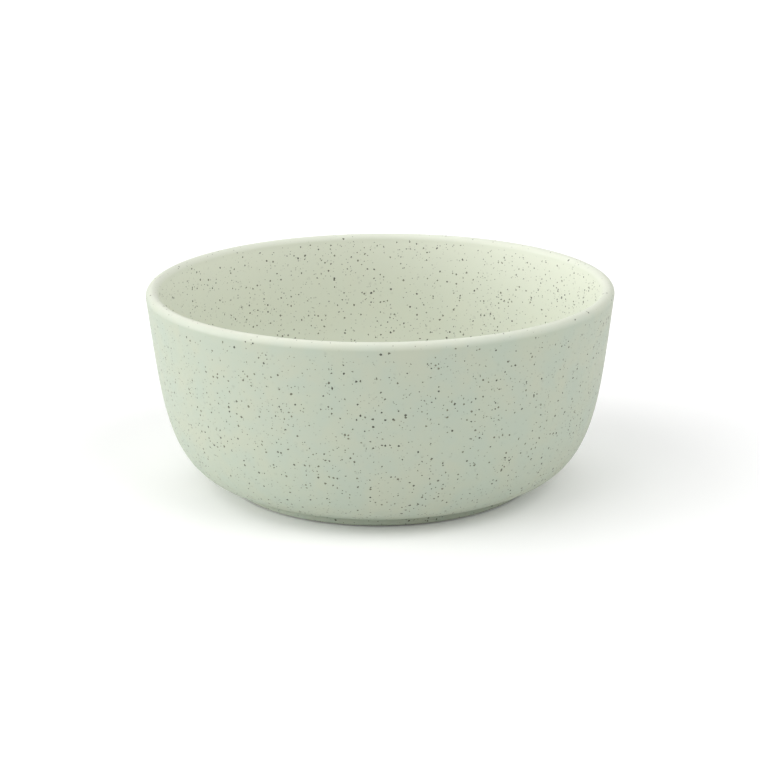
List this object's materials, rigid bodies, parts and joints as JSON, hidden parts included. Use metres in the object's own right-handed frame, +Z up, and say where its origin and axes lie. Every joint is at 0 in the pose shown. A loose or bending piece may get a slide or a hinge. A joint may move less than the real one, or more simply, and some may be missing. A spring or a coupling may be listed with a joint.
{
  "type": "bowl",
  "caption": "Wide round stoneware bowl with near-upright walls, a rounded lip and a low turned foot ring, for holding a ball of yarn while knitting.",
  "frame": {"origin": "centre of the circle on which the foot ring stands, at the bottom of the bowl", "axes": "+Z up along the bowl's axis of turning; X and Y are any two level directions, because the bowl is round"},
  "size_m": [0.152, 0.152, 0.0657],
  "materials": {
    "bare_stoneware": "matte",
    "speckled_glaze": "satin",
    "base_glaze": "satin"
  },
  "bodies": {
    "root": {"stoneware_body": "bare_stoneware", "glaze_coat": "speckled_glaze", "base_glaze": "base_glaze"}
  },
  "joints": []
}
